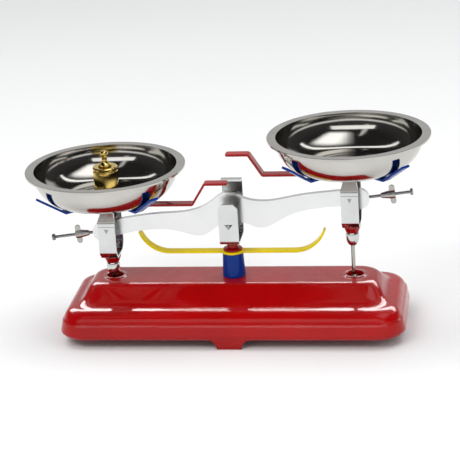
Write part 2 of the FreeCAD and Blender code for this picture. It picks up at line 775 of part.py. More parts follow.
def beam():
    """Flat casting: a hump over the yoke, a belly each side of it, and a round lobe at each end."""
    arm, rise = D.beam_arm.value, D.knife_rise.value
    thick = D.beam_thick.value
    lobe = Vector(arm + D.lobe_reach.value, 0, rise - D.lobe_drop.value)
    radius, belly = D.lobe_radius.value, D.belly_place.value
    saddle, wing = D.beam_saddle.value, D.wing_top.value
    arch, under = D.beam_arch.value, D.wing_under.value
    notch, flank, tail = D.beam_notch.value, D.belly_flank.value, D.belly_tail.value
    top = mirror_through([
        Vector(0, 0, arch), Vector(belly * 0.33, 0, arch - D.arch_brow.value),
        Vector(belly * 0.64, 0, arch - D.arch_cheek.value), Vector(belly * 1.3, 0, saddle),
        Vector(arm * 0.55, 0, wing), Vector(arm * 0.85, 0, wing), lobe + Vector(0, 0, radius)])
    bottom = mirror_through([
        Vector(0, 0, notch), Vector(belly * 0.42, 0, notch - flank / 3), Vector(belly * 0.72, 0, -flank),
        Vector(belly, 0, -D.beam_belly.value), Vector(belly * 1.4, 0, -tail),
        Vector(belly * 1.9, 0, under * 0.4), Vector(arm * 0.68, 0, under), Vector(arm * 0.78, 0, under),
        Vector(arm * 0.9, 0, under * 0.8), lobe - Vector(0, 0, radius)])
    edges = []
    for points in (top, bottom):
        curve = Part.BSplineCurve()
        curve.interpolate(points)
        edges.append(curve.toShape())
    for side in (-1, 1):
        centre = Vector(side * lobe.x, 0, lobe.z)
        edges.append(Part.Arc(centre + Vector(0, 0, radius), centre + Vector(side * radius, 0, 0),
                              centre - Vector(0, 0, radius)).toShape())
    wire = Part.Wire(Part.__sortEdges__(edges))
    solid = Part.Face(wire).extrude(Vector(0, thick, 0))
    solid.translate(Vector(0, -thick / 2, 0))

    def wedge(x, tip, half_angle, height):
        half = math.tan(math.radians(half_angle)) * height
        corners = [Vector(x, -thick, tip), Vector(x + half, -thick, tip + height),
                   Vector(x - half, -thick, tip + height), Vector(x, -thick, tip)]
        return Part.Face(Part.makePolygon(corners)).extrude(Vector(0, thick * 2, 0))

    cuts = [wedge(0, 0, D.knife_angle.value, D.knife_height.value)]
    for side in (-1, 1):
        cuts.append(wedge(side * arm, rise - D.seat_gap.value, D.seat_angle.value,
                          D.seat_rise.value + D.seat_gap.value))
        depth = D.screw_depth.value
        start = Vector(side * (lobe.x + radius - depth), 0, D.screw_height.value)
        cuts.append(Part.makeCylinder(D.screw_radius.value, depth + REACH, start, Vector(side, 0, 0)))
    shape = solid.cut(cuts)
    item = doc.addObject("Part::Feature", "beam")
    item.Shape = shape.Solids[0] if len(shape.Solids) == 1 else shape
    node("beam", item, 0, D.pivot_height, BEAM_TURN)

    knife = new_body("centre_knife")
    profile = outline(draw(knife, "XZ_Plane", "profile"), knife_outline(0, D.knife_angle, D.knife_height))
    pad(knife, profile, "bar", (D.yoke_depth + D.knife_proud) * 2)
    node("centre_knife", knife, 0, D.pivot_height, BEAM_TURN)


def balance_screw(name, side, nut_place):
    """Headed screw in the end of the beam, and the wing nut that shifts on it to set the balance."""
    start = BEAM_END - D.screw_depth
    reach, height = BEAM_END + D.screw_reach, D.screw_height
    nut_place = BEAM_END + nut_place
    screw = new_body(f"{name}_balance_screw")
    corners = [(start * side, 0), (reach * side, 0), (reach * side, D.screw_head),
               ((reach - D.screw_head_thick) * side, D.screw_head),
               ((reach - D.screw_head_thick) * side, D.screw_radius), (start * side, D.screw_radius)]
    revolve(screw, outline(draw(screw, "XZ_Plane", "profile"), corners), "turned", "H_Axis")

    nut = new_body(f"{name}_wing_nut")
    bore = D.screw_radius + D.running_gap
    nose, tail = (nut_place - D.nut_length) * side, nut_place * side
    corners = [(nose, bore), (tail, bore), (tail, D.nut_hub),
               ((nut_place - D.wing_depth) * side, D.nut_hub), (nose, D.nut_nose)]
    revolve(nut, outline(draw(nut, "XZ_Plane", "hub"), corners), "hub_turned", "H_Axis")
    inner, outer = (nut_place - D.wing_depth) * side, nut_place * side
    middle = (nut_place - D.wing_depth / 2) * side
    ear = D.wing_depth / 2
    for mark, up in (("low", -1), ("high", 1)):
        root, shoulder, tip = (D.nut_hub - D.wing_root) * up, (D.wing_span - ear) * up, D.wing_span * up
        wing = draw(nut, "XZ_Plane", f"wing_{mark}")
        outline(wing, [(inner, root), (outer, root), (outer, shoulder, ear, up * side),
                       (middle, tip, ear, up * side), (inner, shoulder)])
        pad(nut, wing, f"wing_{mark}_pad", D.wing_thick)

    for label, body in (("balance_screw", screw), ("wing_nut", nut)):
        node(f"{name}_{label}", body, height * -TILT_SIN, D.pivot_height + height * TILT_COS, BEAM_TURN)


# ---------------------------------------------------------------- pan carriers

def stirrup(name, x, z):
    """Closed loop of strip: square shoulders below, sloped to a narrow neck above."""
    body = new_body(f"{name}_stirrup")
    deep, thick, cut = D.yoke_depth, D.sheet, D.stirrup_chamfer
    low, top, neck = -D.stirrup_bottom, D.stirrup_top, D.stirrup_neck_depth
    shoulder = top - (deep - neck)
    shift = thick * math.tan(math.radians(22.5))
    outer = mirrored([(deep - cut, low), (deep, low + cut), (deep, shoulder), (neck, top)])
    inner = mirrored([(deep - cut - shift, low + thick), (deep - thick, low + cut + shift),
                      (deep - thick, shoulder - shift), (neck - shift, top - thick)])
    pad(body, outline(draw(body, "YZ_Plane", "outside"), outer), "block", D.stirrup_width * 2)
    round_edges(body, "outer_bends", D.stirrup_bend,
                any_of([through(across, up) for across, up in outer]))
    pocket(body, outline(draw(body, "YZ_Plane", "inside"), inner), "inside_cut", D.stirrup_width * 3)
    round_edges(body, "inner_bends", D.stirrup_bend - thick,
                any_of([through(across, up) for across, up in inner]))
    for mark, side in (("left", -1), ("right", 1)):
        wide, narrow = D.stirrup_width * side, D.stirrup_neck * side
        far = wide * 2
        taper = draw(body, "XZ_Plane", f"taper_{mark}")
        outline(taper, [(wide, shoulder + thick / 2), (far, shoulder + thick / 2), (far, top + REACH),
                        (narrow, top + REACH), (narrow, top - thick * 1.5)])
        pocket(body, taper, f"taper_{mark}_cut", deep * 3)
    groove = draw(body, "YZ_Plane", "groove")
    outline(groove, [(-deep, D.groove_place), (D.groove_depth - deep, D.groove_place),
                     (D.groove_depth - deep, D.groove_place + D.groove_height),
                     (-deep, D.groove_place + D.groove_height)])
    pocket(body, groove, "groove_cut", D.stirrup_width * 3)
    slots = outline(draw(body, "XZ_Plane", "knife_slots"), knife_outline(0, D.knife_angle, D.knife_height))
    pocket(body, slots, "knife_cut", deep * 3)
    holes = circle(draw(body, "XY_Plane", "top_hole", lift=top + REACH), 0, 0, D.cradle_screw)
    pocket(body, holes, "top_hole_cut", thick * 3, both=False)
    holes = circle(draw(body, "XY_Plane", "low_hole", lift=low + thick + REACH), 0, 0, D.stem_radius)
    pocket(body, holes, "low_hole_cut", thick * 3, both=False)
    node(f"{name}_stirrup", body, x, z)

    knife = new_body(f"{name}_knife")
    profile = outline(draw(knife, "XZ_Plane", "profile"), knife_outline(0, D.knife_angle, D.knife_height))
    pad(knife, profile, "bar", deep * 2)
    node(f"{name}_knife", knife, x, z)


def pointer(name, side, x, z):
    """Z-bent strip from the neck to the middle of the scale, where it meets its twin tip to tip."""
    body = new_body(f"{name}_pointer")
    thick, low, rise = D.pointer_thick, POINTER_LOW, D.pointer_rise
    lean = thick * trig("tan", D.pointer_slope / 2)
    run = rise / trig("tan", D.pointer_slope)
    tip = D.beam_arm - D.pointer_tip_gap
    back = D.spacer_radius + D.pointer_tail
    corners = [(-back, low), (D.pointer_low, low), (D.pointer_low + run, low + rise), (tip, low + rise),
               (tip, low + rise + thick), (D.pointer_low + run - lean, low + rise + thick),
               (D.pointer_low - lean, low + thick), (-back, low + thick)]
    strip = draw(body, "XZ_Plane", "strip")
    outline(strip, [(size(across) * -side, up) for across, up in corners])
    pad(body, strip, "strip_pad", D.pointer_width)
    for kind, bends in (("under", (1, 2)), ("over", (5, 6))):
        for mark in bends:
            across, up = corners[mark]
            outside = mark in (1, 5)
            radius = D.pointer_thick * 1.5 if outside else D.pointer_thick * 0.5
            round_edges(body, f"{kind}_{mark}", radius,
                        through((size(across) * -side).value, up, "x", "z"))
    ends = [lambda edge, s=s: all(abs(v.Point.x + side * tip.value) < 1e-4
                                  and abs(v.Point.y - s * D.pointer_width.value / 2) < 1e-4
                                  for v in edge.Vertexes) for s in (-1, 1)]
    round_edges(body, "tip_corners", D.pointer_width / 4, any_of(ends))
    hole = circle(draw(body, "XY_Plane", "hole", lift=low + thick + REACH), 0, 0, D.cradle_screw)
    pocket(body, hole, "hole_cut", thick * 3, both=False)
    node(f"{name}_pointer", body, x, z)


def cradle(name, x, z):
    """Two crossed strips, bent up round the foot of the pan."""
    body = new_body(f"{name}_cradle")
    thick, low, top = D.cradle_thick, CRADLE_LOW, CRADLE_TOP
    lean = thick * trig("tan", D.cradle_slope / 2)
    slope_sin, slope_cos = trig("sin", D.cradle_slope), trig("cos", D.cradle_slope)
    bend = D.pan_flat + (D.pan_bowl + D.rest_gap) * trig("tan", D.cradle_slope / 2)
    rise = (D.cradle_reach - bend) * trig("tan", D.cradle_slope)
    right = [(bend + lean, low),
             (D.cradle_reach + thick * slope_sin, top + rise - thick * slope_cos),
             (D.cradle_reach, top + rise), (bend, top)]
    for mark, turn in (("fore", D.cradle_angle), ("back", -D.cradle_angle)):
        strip = draw(body, "XZ_Plane", f"strip_{mark}", turn=turn)
        outline(strip, mirrored(right))
        pad(body, strip, f"strip_{mark}_pad", D.cradle_width)
    hub = circle(draw(body, "XY_Plane", "hub", lift=low), 0, 0, D.cradle_hub)
    pad(body, hub, "hub_pad", thick, both=False)
    head = outline(draw(body, "XZ_Plane", "countersink"), [
        (0, low - REACH), (D.cradle_screw, low - REACH), (D.cradle_screw, low + D.countersink_land),
        (D.cradle_head, top), (D.cradle_head, top + REACH), (0, top + REACH)])
    cut = feature(body, "Groove", "countersink_cut", head)
    cut.ReferenceAxis = (head, ["V_Axis"])
    cut.Angle = 360
    node(f"{name}_cradle", body, x, z)

    washer = lathe(f"{name}_spacer", [
        (D.cradle_screw, SPACER_LOW), (D.spacer_radius, SPACER_LOW), (D.spacer_radius, CRADLE_LOW),
        (D.cradle_screw, CRADLE_LOW)])
    node(f"{name}_spacer", washer, x, z)
    nut_low = D.stirrup_top - D.sheet - D.small_hex_height
    shank_low = nut_low - D.small_stub
    screw = lathe(f"{name}_cradle_screw", [
        (0, shank_low), (D.cradle_screw, shank_low), (D.cradle_screw, low + D.countersink_land),
        (D.cradle_head, top), (0, top)])
    node(f"{name}_cradle_screw", screw, x, z)
    nut = hex_nut(f"{name}_cradle_nut", D.cradle_screw, D.small_hex, D.small_hex_height, nut_low)
    node(f"{name}_cradle_nut", nut, x, z)


def stem(name, x, z):
    """Collar, nut and stem below the stirrup, down to the pin that joins the check link."""
    low = -D.stirrup_bottom
    rod = D.stem_radius
    node(f"{name}_collar", lathe(f"{name}_collar", [
        (rod, NUT_TOP), (D.collar_foot, NUT_TOP), (D.collar_radius, COLLAR_TOP - D.collar_band),
        (D.collar_radius, COLLAR_TOP), (rod, COLLAR_TOP)]), x, z)
    wide, foot = D.stem_nut_radius, D.stem_nut_foot
    node(f"{name}_stem_nut", lathe(f"{name}_stem_nut", [
        (rod, NUT_FOOT), (foot, NUT_FOOT, D.stem_nut_height, 1),
        (wide, NUT_TOP - D.stem_nut_edge - D.stem_nut_band), (wide, NUT_TOP - D.stem_nut_edge),
        (wide - D.stem_nut_chamfer, NUT_TOP), (rod, NUT_TOP)]), x, z)

    body = new_body(f"{name}_stem")
    head_low = low + D.sheet
    profile = outline(draw(body, "XZ_Plane", "profile"), [
        (0, CLEVIS_FOOT), (D.clevis_radius, CLEVIS_FOOT), (D.clevis_radius, CLEVIS_TOP),
        (rod, CLEVIS_TOP + D.clevis_taper), (rod, head_low), (D.stem_head, head_low),
        (D.stem_head, head_low + D.stem_head_thick), (0, head_low + D.stem_head_thick)])
    revolve(body, profile, "turned")
    half_slot = D.link_thick / 2 + D.rest_gap
    slot = draw(body, "YZ_Plane", "slot")
    slot_top = -LINK_DROP + D.link_eye + D.rest_gap * 2
    outline(slot, [(-half_slot, CLEVIS_FOOT - REACH), (half_slot, CLEVIS_FOOT - REACH), (half_slot, slot_top),
                   (-half_slot, slot_top)])
    pocket(body, slot, "slot_cut", D.clevis_radius * 3)
    bore = circle(draw(body, "XZ_Plane", "bore"), 0, -LINK_DROP, D.link_pin)
    pocket(body, bore, "bore_cut", D.clevis_radius * 3)
    node(f"{name}_stem", body, x, z)
    pin = cross_pin(f"{name}_stem_pin", D.link_pin, D.clevis_radius - D.clevis_inset)
    node(f"{name}_stem_pin", pin, x, z - LINK_DROP)


def pan(name, x, z):
    """Bowl with a flat floor and a flat flange whose edge is turned down."""
    low, wall, flat, bowl = PAN_LOW, D.pan_wall, D.pan_flat, D.pan_bowl
    brim, rim = low + bowl, D.pan_radius
    top = brim + wall
    body = lathe(f"{name}_pan", [
        (0, low), (flat, low, bowl, 1), (flat + bowl, brim), (rim - wall, brim),
        (rim - wall, top - D.pan_edge), (rim, top - D.pan_edge), (rim, top), (flat + bowl - wall, top),
        (flat + bowl - wall, brim, bowl - wall, -1), (flat, low + wall), (0, low + wall)])
    node(f"{name}_pan", body, x, z)


def weight(x, z):
    """Brass cylinder weight with a screwed-in knob."""
    low = PAN_LOW + D.pan_wall + D.rest_gap
    top, radius, edge = low + D.weight_height, D.weight_radius, D.weight_edge
    stud, deep, groove, bevel = D.knob_stud, D.stud_length, D.weight_groove, D.ring_bevel
    ring_high = top - D.ring_place - bevel
    ring_low = ring_high - D.ring_width
    node("weight_body", lathe("weight_body", [
        (0, low), (radius - edge, low), (radius, low + edge), (radius, ring_low - bevel),
        (radius - groove, ring_low), (radius - groove, ring_high), (radius, ring_high + bevel),
        (radius, top - edge), (radius - edge, top), (stud, top), (stud, top - deep), (0, top - deep)]), x, z)
    ball = D.knob_ball
    ball_foot = top + D.knob_height - ball * 1.8
    neck_foot = top + D.knob_height - ball * 2.2
    node("weight_knob", lathe("weight_knob", [
        (0, top - deep), (stud, top - deep), (stud, top), (D.knob_dome, top),
        (D.knob_dome, top + D.knob_foot, D.knob_dome, -1), (D.knob_neck, neck_foot),
        (D.knob_neck, ball_foot, ball, 1), (0, top + D.knob_height)]), x, z)


# ---------------------------------------------------------------- assembly

base_casting()
centre_column()
yoke()
link_bracket()
check_link()
beam()
balance_screw("left", -1, D.left_nut_place)
balance_screw("right", 1, D.right_nut_place)
for carrier, (outward, knife_x, knife_z) in CARRIERS.items():
    stirrup(carrier, knife_x, knife_z)
    pointer(carrier, outward, knife_x, knife_z)
    cradle(carrier, knife_x, knife_z)
    stem(carrier, knife_x, knife_z)
    pan(carrier, knife_x, knife_z)
weight(CARRIERS["left"][1], CARRIERS["left"][2])

doc.recompute()
failed = [item.Name for item in doc.Objects if {"Invalid", "Error"} & set(item.State)]
failed += [label for label, item in nodes.items() if item.Shape.isNull() or not item.Shape.isValid()]
assert not failed, f"not built: {failed}"
os.makedirs("parts", exist_ok=True)
for label, item in nodes.items():
    item.Shape.exportStep(f"parts/{label}.step")
print(len(nodes), "nodes written")
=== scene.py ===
"""Looks of the toy counter balance: finishes, rounded edges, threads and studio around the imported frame.

Everything is in metres in the frame of the CAD model, +Z up.
"""

import bmesh
import bpy
import json
import math
from mathutils import Matrix, Vector

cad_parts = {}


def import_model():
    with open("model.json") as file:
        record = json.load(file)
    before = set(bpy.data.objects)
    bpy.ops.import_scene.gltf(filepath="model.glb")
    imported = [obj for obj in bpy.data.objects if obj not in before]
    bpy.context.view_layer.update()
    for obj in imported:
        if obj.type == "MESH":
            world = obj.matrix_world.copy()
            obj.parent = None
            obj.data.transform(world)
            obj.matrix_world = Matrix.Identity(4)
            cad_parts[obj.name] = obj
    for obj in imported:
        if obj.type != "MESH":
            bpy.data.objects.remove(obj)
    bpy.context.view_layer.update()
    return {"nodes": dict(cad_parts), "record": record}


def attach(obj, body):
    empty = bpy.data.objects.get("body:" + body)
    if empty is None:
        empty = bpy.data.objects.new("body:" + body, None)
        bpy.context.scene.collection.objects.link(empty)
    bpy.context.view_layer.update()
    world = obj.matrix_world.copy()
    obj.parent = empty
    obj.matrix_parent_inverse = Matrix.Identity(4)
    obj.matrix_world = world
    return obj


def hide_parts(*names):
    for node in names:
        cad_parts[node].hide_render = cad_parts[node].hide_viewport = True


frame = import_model()
record = frame["record"]

MM = 0.001
SIDES = ("left", "right")
body_of = {node: body for body, group in record["behaviour"]["bodies"].items() for node in group}
slot_of = {part["node"]: part["material_slot"] for part in record["subparts"]}
joints = {joint["name"]: joint for joint in record["behaviour"]["joints"]}


# ---------------------------------------------------------------- materials

class Shader:
    """A node material with a Principled shader, and short ways to add to it."""

    def __init__(self, name, colour, roughness, metallic=0.0):
        self.material = bpy.data.materials.new(name)
        self.material.use_nodes = True
        self.tree = self.material.node_tree
        self.surface = self.tree.nodes["Principled BSDF"]
        self.surface.inputs["Base Color"].default_value = (*colour, 1)
        self.surface.inputs["Metallic"].default_value = metallic
        self.surface.inputs["Roughness"].default_value = roughness
        self.place = self.add("ShaderNodeTexCoord").outputs["Object"]
        self.normal = None

    def add(self, kind, **values):
        node = self.tree.nodes.new(kind)
        for name, value in values.items():
            setattr(node, name, value)
        return node

    def link(self, source, target):
        self.tree.links.new(source, target)

    def stretched(self, scale):
        mapping = self.add("ShaderNodeMapping")
        mapping.inputs["Scale"].default_value = scale
        self.link(self.place, mapping.inputs["Vector"])
        return mapping.outputs["Vector"]

    def noise(self, size, detail=2.0, stretch=(1, 1, 1)):
        """Noise with features about size metres across, longer along an axis where stretch is small."""
        node = self.add("ShaderNodeTexNoise")
        node.inputs["Scale"].default_value = 1 / size
        node.inputs["Detail"].default_value = detail
        self.link(self.stretched(stretch), node.inputs["Vector"])
        return node.outputs["Fac"]

    def span(self, source, low, high, start=0.3, stop=0.7):
        """Values from low to high as the source goes from start to stop; noise is mostly 0.3 to 0.7."""
        node = self.add("ShaderNodeMapRange")
        limits = {"From Min": start, "From Max": stop, "To Min": low, "To Max": high}
        for name, value in limits.items():
            node.inputs[name].default_value = value
        self.link(source, node.inputs["Value"])
        return node.outputs["Result"]

    def multiply(self, first, second):
        node = self.add("ShaderNodeMath", operation="MULTIPLY")
        self.link(first, node.inputs[0])
        self.link(second, node.inputs[1])
        return node.outputs[0]

    def round_edges(self, radius):
        """Edges that catch the light as if rounded to radius metres, the way thick paint leaves them."""
        node = self.add("ShaderNodeBevel", samples=6)
        node.inputs["Radius"].default_value = radius
        self.normal = node.outputs["Normal"]

    def bump(self, height, depth):
        """Relief of depth metres for each unit of height, on top of the relief so far."""
        node = self.add("ShaderNodeBump")
        node.inputs["Strength"].default_value = 1.0
        node.inputs["Distance"].default_value = depth
        self.link(height, node.inputs["Height"])
        if self.normal is not None:
            self.link(self.normal, node.inputs["Normal"])
        self.normal = node.outputs["Normal"]
        self.link(self.normal, self.surface.inputs["Normal"])

    def tint(self, factor, low, high):
        """Base colour that runs from low to high with a 0 to 1 factor."""
        node = self.add("ShaderNodeMix", data_type="RGBA")
        node.inputs["A"].default_value = (*low, 1)
        node.inputs["B"].default_value = (*high, 1)
        self.link(factor, node.inputs["Factor"])
        self.link(node.outputs["Result"], self.surface.inputs["Base Color"])

    def rough(self, factor, low, high):
        """Roughness that drifts between low and high with a factor of about 0.3 to 0.7."""
        self.link(self.span(factor, low, high), self.surface.inputs["Roughness"])

    def cloud(self, size, detail, low, high):
        """Base colour that drifts between low and high in clouds about size metres across."""
        self.tint(self.span(self.noise(size, detail), 0, 1), low, high)


def shade(colour, factor):
    """A darker colour, or a lighter one where factor is over 1."""
    return tuple(channel * factor for channel in colour)


def enamel(name, colour, gloss=1.0, peel=0.00003, streaks=False, edge=0.0006):
    """Sprayed gloss paint: a clear film with orange peel, over colour that clouds a little.

    The film's slow waves are peel metres deep, its pits and its streaks along X are shares of that, and
    its edges look rounded to edge metres.
    """
    pit_share, streak_share = 0.08, 0.3
    shader = Shader(name, colour, roughness=0.5)
    shader.surface.inputs["Specular IOR Level"].default_value = 0.03
    shader.surface.inputs["Coat Weight"].default_value = gloss
    shader.surface.inputs["Coat Roughness"].default_value = 0.03
    shader.surface.inputs["Coat IOR"].default_value = 1.35
    shader.cloud(0.03, 3, shade(colour, 0.86), shade(colour, 1.1))
    shader.rough(shader.noise(0.006), 0.4, 0.6)
    shader.round_edges(edge)
    shader.bump(shader.noise(0.012, 2), peel)
    shader.bump(shader.noise(0.0012, 1), peel * pit_share)
    if streaks:
        shader.bump(shader.noise(0.0022, 3, stretch=(0.03, 1, 1)), peel * streak_share)
    shader.link(shader.normal, shader.surface.inputs["Coat Normal"])
    return shader.material


def plated(name, colour, roughness, brush=(1, 1, 1)):
    """Plated metal: bright and faintly clouded, polished along the axis where brush is small."""
    mark_depth, wave_depth = 0.000004, 0.00002
    shader = Shader(name, colour, roughness, metallic=1.0)
    shader.cloud(0.012, 4, shade(colour, 0.9), colour)
    shader.rough(shader.noise(0.004, 4), roughness * 0.75, roughness * 1.4)
    shader.bump(shader.noise(0.0006, 3, stretch=brush), mark_depth)
    shader.bump(shader.noise(0.011, 1), wave_depth)
    return shader.material


def cast_metal(name, colour):
    """Plated casting: bright but soft, with shallow hollows left by the mould."""
    hollow_depth = 0.00003
    shader = Shader(name, colour, roughness=0.24, metallic=1.0)
    shader.cloud(0.02, 1, shade(colour, 0.94), colour)
    shader.rough(shader.noise(0.008, 2), 0.21, 0.27)
    shader.bump(shader.noise(0.03, 1), hollow_depth)
    return shader.material


def turned(name, colour, roughness, pitch, depth, dents):
    """Metal turned or spun about the piece's own Z axis, with fine rings and a clouded polish.

    The rings are about pitch metres apart and depth metres deep, and the slow waves are dents metres deep.
    """
    shader = Shader(name, colour, roughness, metallic=1.0)
    split = shader.add("ShaderNodeSeparateXYZ")
    shader.link(shader.place, split.inputs["Vector"])
    flat = shader.add("ShaderNodeCombineXYZ")
    shader.link(split.outputs["X"], flat.inputs["X"])
    shader.link(split.outputs["Y"], flat.inputs["Y"])
    radius = shader.add("ShaderNodeVectorMath", operation="LENGTH")
    shader.link(flat.outputs["Vector"], radius.inputs[0])
    along = shader.add("ShaderNodeMath", operation="ADD")
    shader.link(radius.outputs["Value"], along.inputs[0])
    shader.link(split.outputs["Z"], along.inputs[1])
    rings = shader.add("ShaderNodeTexNoise", noise_dimensions="1D")
    rings.inputs["Scale"].default_value = 1 / pitch
    rings.inputs["Detail"].default_value = 3
    shader.link(along.outputs[0], rings.inputs["W"])
    shader.cloud(0.02, 4, shade(colour, 0.88), colour)
    wear = shader.multiply(rings.outputs["Fac"], shader.noise(0.012, 3))
    shader.rough(wear, roughness * 0.7, roughness * 1.6)
    shader.bump(rings.outputs["Fac"], depth)
    shader.bump(shader.noise(0.018, 1), dents)
    return shader.material


def threaded(name, colour, roughness, pitch, axis):
    """Plated screw: rings of thread across its axis, with painted shade darkening their roots."""
    thread_depth = 0.00008
    shader = Shader(name, colour, roughness, metallic=1.0)
    along = shader.add("ShaderNodeVectorMath", operation="DOT_PRODUCT")
    shader.link(shader.place, along.inputs[0])
    along.inputs[1].default_value = axis
    turns = shader.add("ShaderNodeMath", operation="MULTIPLY")
    turns.inputs[1].default_value = 2 * math.pi / pitch
    shader.link(along.outputs["Value"], turns.inputs[0])
    wave = shader.add("ShaderNodeMath", operation="SINE")
    shader.link(turns.outputs[0], wave.inputs[0])
    # painted shade: the colour falls to 0.35 of itself in the thread roots, where shade would fall
    shader.tint(shader.span(wave.outputs[0], 0, 1, start=-1, stop=0.4), shade(colour, 0.35), colour)
    shader.rough(shader.noise(0.003), roughness * 0.8, roughness * 1.4)
    shader.bump(wave.outputs[0], thread_depth)
    return shader.material


THREAD_AXIS = joints["left_nut_travel"]["axis"]     # both balance screws lie along the beam
FINISHES = {
    "red_enamel": enamel("red_enamel", (0.34, 0.0005, 0.001)),
    "red_casting": enamel("red_casting", (0.40, 0.0005, 0.001), peel=0.000014, streaks=True, edge=0.0025),
    "blue_enamel": enamel("blue_enamel", (0.0002, 0.035, 0.27), gloss=0.6),
    "yellow_enamel": enamel("yellow_enamel", (0.94, 0.73, 0.0002), gloss=0.6),
    "chrome": plated("chrome", (0.66, 0.67, 0.66), roughness=0.09, brush=(1, 1, 0.05)),
    "nickel": plated("nickel", (0.44, 0.43, 0.40), roughness=0.15, brush=(0.05, 1, 1)),
    "zinc_steel": plated("zinc_steel", (0.36, 0.37, 0.38), roughness=0.27),
    "cast_alloy": cast_metal("cast_alloy", (0.79, 0.80, 0.79)),
    "polished_steel": turned("polished_steel", (0.57, 0.555, 0.52), roughness=0.14,
                             pitch=0.0009, depth=0.0000015, dents=0.00005),
    "brass": turned("brass", (0.86, 0.62, 0.19), roughness=0.13,
                    pitch=0.0008, depth=0.0000006, dents=0.000002),
    "screw_thread": threaded("screw_thread", (0.42, 0.42, 0.41), roughness=0.2,
                             pitch=0.0008, axis=THREAD_AXIS),
}

# Nodes whose finish here is more particular than their material slot says.
OWN_FINISH = {"base_casting": "red_casting", "left_balance_screw": "screw_thread",
              "right_balance_screw": "screw_thread"}


# ---------------------------------------------------------------- pieces

SHARP = math.radians(28)        # faces that meet at more than this make an edge
FLAT = math.radians(0.6)        # faces that meet at less than this become one
SEAM = 0.002 * MM               # corners nearer than this are one


def show(name, mesh, node, place):
    """A new object for a mesh, finished and carried like the CAD node it stands for."""
    piece = bpy.data.objects.new(name, mesh)
    bpy.context.scene.collection.objects.link(piece)
    piece.location = place
    piece.data.materials.clear()
    piece.data.materials.append(FINISHES[OWN_FINISH.get(node, slot_of[node])])
    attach(piece, body_of[node])
    return piece


def soften(piece, width):
    """Sharp edges rounded to a width in metres, with smooth shading across them."""
    bevel = piece.modifiers.new("edges", "BEVEL")
    bevel.width = width
    bevel.segments = 3
    bevel.limit_method = "ANGLE"
    bevel.angle_limit = SHARP
    bevel.harden_normals = True
    bevel.use_clamp_overlap = True


def smooth(mesh):
    for polygon in mesh.polygons:
        polygon.use_smooth = True
    mesh.set_sharp_from_angle(angle=SHARP)


def rounded_copy(node, width, turn_axis=(0, 0, 0)):
    """The CAD node's shape with its sharp edges rounded off and its own origin at turn_axis."""
    mesh = frame["nodes"][node].data.copy()
    mesh.name = f"{node}_rounded"
    shape = bmesh.new()
    shape.from_mesh(mesh)
    bmesh.ops.remove_doubles(shape, verts=shape.verts, dist=SEAM)
    bmesh.ops.dissolve_limit(shape, angle_limit=FLAT, verts=shape.verts, edges=shape.edges)
    bmesh.ops.translate(shape, verts=shape.verts, vec=-Vector(turn_axis))
    shape.to_mesh(mesh)
    shape.free()
    mesh.materials.clear()
    if "custom_normal" in mesh.attributes:
        mesh.attributes.remove(mesh.attributes["custom_normal"])
    smooth(mesh)
    piece = show(f"{node}_rounded", mesh, node, turn_axis)
    soften(piece, width)
    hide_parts(node)
    return piece


# How far the edges of each node are rounded, in millimetres.
ROUNDING = {
    "base_casting": 0.5, "pillar": 0.35, "stop_bar": 0.35, "spool": 0.25, "yoke": 0.22,
    "index_plate": 0.22, "index_rivets": 0.15, "pillar_bolt": 0.2, "pillar_nut": 0.2,
    "link_bracket": 0.2, "link_pin": 0.2, "check_link": 0.25, "beam": 0.55, "centre_knife": 0.1,
    "weight_body": 0.15, "weight_knob": 0.15,
}
SIDE_ROUNDING = {
    "wing_nut": 0.3, "balance_screw": 0.2, "pan": 0.2, "stirrup": 0.22, "knife": 0.1, "pointer": 0.3,
    "spacer": 0.15, "cradle": 0.3, "cradle_screw": 0.1, "cradle_nut": 0.15, "collar": 0.25,
    "stem_nut": 0.2, "stem": 0.2, "stem_pin": 0.15,
}
for side in SIDES:
    ROUNDING.update({f"{side}_{part}": width for part, width in SIDE_ROUNDING.items()})

# Turned pieces, and the pivot that lies on each one's own axis.
TURNED = {"left_pan": "left_carrier_pivot", "right_pan": "right_carrier_pivot",
          "weight_body": "left_carrier_pivot", "weight_knob": "left_carrier_pivot"}

pieces = {}
for node, width in ROUNDING.items():
    axis = joints[TURNED[node]]["pos_m"] if node in TURNED else (0, 0, 0)
    pieces[node] = rounded_copy(node, width * MM, turn_axis=axis)


# ---------------------------------------------------------------- studio

def area_light(name, place, aim_height, size, power, gleam_on=None):
    """A soft lamp aimed at a height on the Z axis, in metres and watts.

    It lights the whole object and has no mirror image, or it only gleams, on the one piece in gleam_on.
    """
    lamp = bpy.data.lights.new(name, "AREA")
    lamp.shape = "RECTANGLE"
    lamp.size, lamp.size_y = size
    lamp.energy = power
    item = bpy.data.objects.new(name, lamp)
    item.location = place
    towards = Vector((0, 0, aim_height)) - Vector(place)
    item.rotation_euler = towards.to_track_quat("-Z", "Y").to_euler()
    item.visible_glossy = gleam_on is not None
    item.visible_diffuse = gleam_on is None
    bpy.context.scene.collection.objects.link(item)
    if gleam_on is not None:
        receivers = bpy.data.collections.new(f"{name}_receivers")
        receivers.objects.link(gleam_on)
        item.light_linking.receiver_collection = receivers


def floor():
    """A pale round floor, wide enough to reach the horizon."""
    dull, pale = (0.89, 0.89, 0.89), (0.91, 0.91, 0.91)
    mesh = bpy.data.meshes.new("floor")
    shape = bmesh.new()
    bmesh.ops.create_circle(shape, cap_ends=True, segments=96, radius=12)
    shape.to_mesh(mesh)
    shape.free()
    shader = Shader("floor", pale, roughness=0.6)
    shader.surface.inputs["Specular IOR Level"].default_value = 0.2
    shader.cloud(0.5, 2, dull, pale)
    mesh.materials.append(shader.material)
    plane = bpy.data.objects.new("floor", mesh)
    bpy.context.scene.collection.objects.link(plane)


